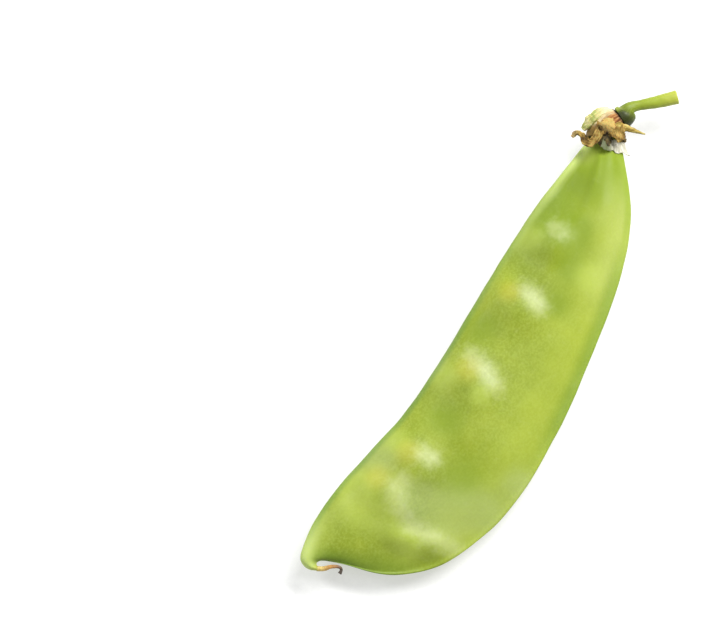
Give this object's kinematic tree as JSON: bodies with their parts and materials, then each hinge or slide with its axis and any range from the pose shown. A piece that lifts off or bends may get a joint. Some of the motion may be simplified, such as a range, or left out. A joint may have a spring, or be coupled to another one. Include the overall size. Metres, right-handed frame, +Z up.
{
  "type": "snow pea pod",
  "caption": "Fresh snow pea pod lying on its side: flat, curved pod with low pea swellings, ribbed sutures, a beak with a dried style, a withered calyx and a short cut stalk.",
  "frame": {"origin": "centre of the footprint, on the surface that the pod lies on", "axes": "+X from the beak to the stalk, +Y towards the ventral suture, +Z up through the two valves"},
  "size_m": [0.0994, 0.0286, 0.009],
  "materials": {
    "pod_skin": "waxy green plant skin with a satin bloom",
    "style": "dried, brown",
    "calyx": "withered, straw and brown",
    "sheath": "papery, cream",
    "stalk": "green plant skin, finely ribbed"
  },
  "bodies": {
    "root": {"pod": "pod_skin", "dried_style": "style", "calyx": "calyx", "stamen_sheath": "sheath", "stalk": "stalk"}
  },
  "joints": []
}
